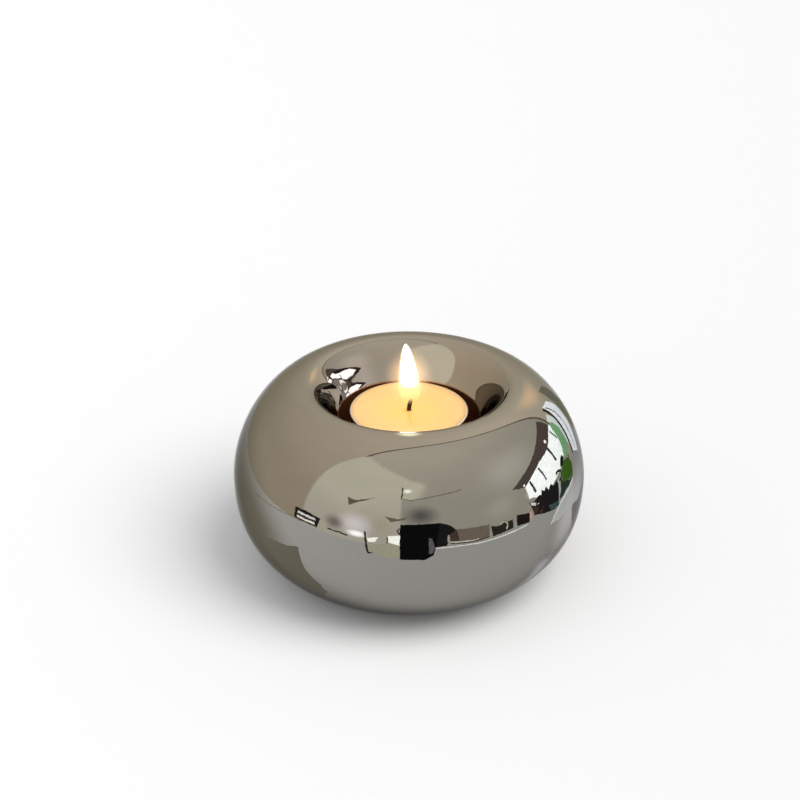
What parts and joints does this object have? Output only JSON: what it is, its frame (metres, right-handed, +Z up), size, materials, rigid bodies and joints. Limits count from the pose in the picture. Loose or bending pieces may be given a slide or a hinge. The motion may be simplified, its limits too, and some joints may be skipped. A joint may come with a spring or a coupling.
{
  "type": "tealight holder",
  "caption": "Squat hollow ball of mirror-silvered ceramic with a wide soft-lipped mouth, holding a lit tealight in a well, for candlelight on a table.",
  "frame": {"origin": "on the surface the holder stands on, under the middle of the ball", "axes": "+Z up out of the mouth, along the axis the ball is turned about; -Y is the side the picture looks from"},
  "size_m": [0.114, 0.114, 0.065],
  "materials": {
    "silver_glaze": "mirror-bright silver lustre over a smooth glaze, slightly warm",
    "felt": "dark grey pressed felt",
    "cup_aluminium": "drawn foil, satin",
    "candle_wax": "warm cream paraffin wax, lit from inside",
    "wick_base_steel": "tinned sheet",
    "wick_cotton": "braided cotton, charred above the wax"
  },
  "bodies": {
    "holder": {"ball_lower": "silver_glaze", "ball_upper": "silver_glaze", "bowl_and_well": "silver_glaze", "foot_pad_right": "felt", "foot_pad_back": "felt", "foot_pad_left": "felt", "foot_pad_front": "felt"},
    "tealight": {"tealight_cup": "cup_aluminium"},
    "candle": {"wax": "candle_wax", "wick_base": "wick_base_steel", "wick": "wick_cotton"}
  },
  "joints": [
    {"name": "tealight_lift", "type": "slide", "parent": "holder", "child": "tealight", "axis": [0, 0, 1], "range_m": [0, 0.045]},
    {"name": "candle_lift", "type": "slide", "parent": "tealight", "child": "candle", "axis": [0, 0, 1], "range_m": [0, 0.02]}
  ]
}
